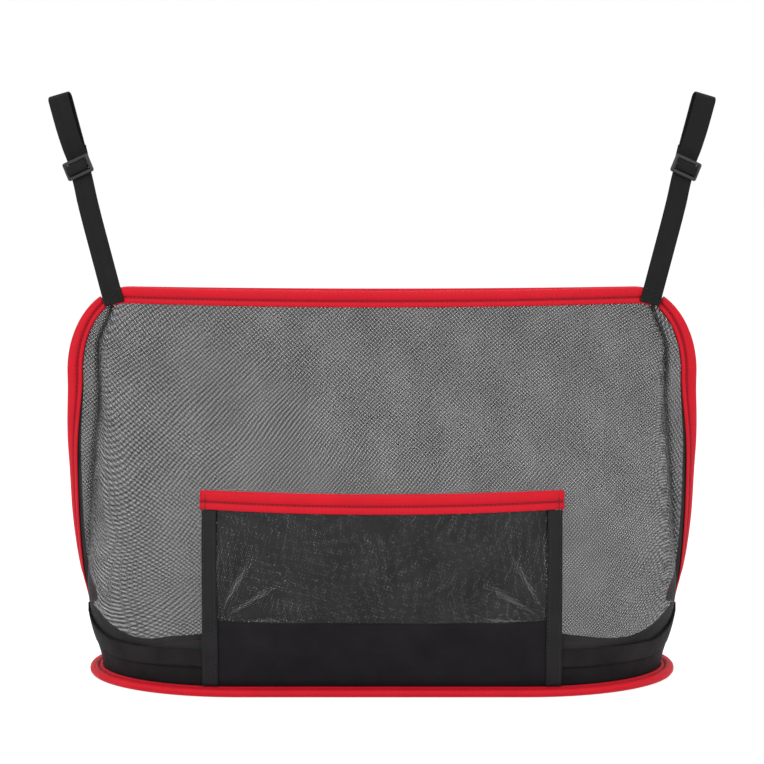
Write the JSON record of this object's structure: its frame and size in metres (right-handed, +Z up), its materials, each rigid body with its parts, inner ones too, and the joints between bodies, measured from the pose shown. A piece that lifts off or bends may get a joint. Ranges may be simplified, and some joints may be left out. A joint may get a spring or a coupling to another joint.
{
  "type": "car seat net pocket",
  "caption": "Open-topped mesh storage bag on a flat oval base, with bound edges, a small front mesh pocket and adjustable hanging straps.",
  "frame": {"origin": "middle of the flat underside of the base panel", "axes": "+X to the right across the bag seen from its front, +Y from the front to the back, +Z up"},
  "size_m": [0.4518, 0.1342, 0.4026],
  "materials": {
    "black_net": "matt open mesh",
    "black_cloth": "matt woven cloth with a soft sheen",
    "red_binding": "ribbed woven binding tape",
    "black_webbing": "close woven webbing",
    "black_plastic": "moulded, satin"
  },
  "bodies": {
    "root": {"base_panel": "black_cloth", "base_rim": "red_binding", "base_skirt": "black_cloth", "left_front_net": "black_net", "right_front_net": "black_net", "left_back_net": "black_net", "right_back_net": "black_net", "front_top_binding": "red_binding", "back_top_binding": "red_binding", "left_side_binding": "red_binding", "right_side_binding": "red_binding", "pocket_net": "black_net", "pocket_band": "black_cloth", "pocket_binding": "red_binding", "left_pocket_tape": "black_webbing", "right_pocket_tape": "black_webbing", "left_strap": "black_webbing", "right_strap": "black_webbing", "left_slider": "black_plastic", "right_slider": "black_plastic"}
  },
  "joints": []
}
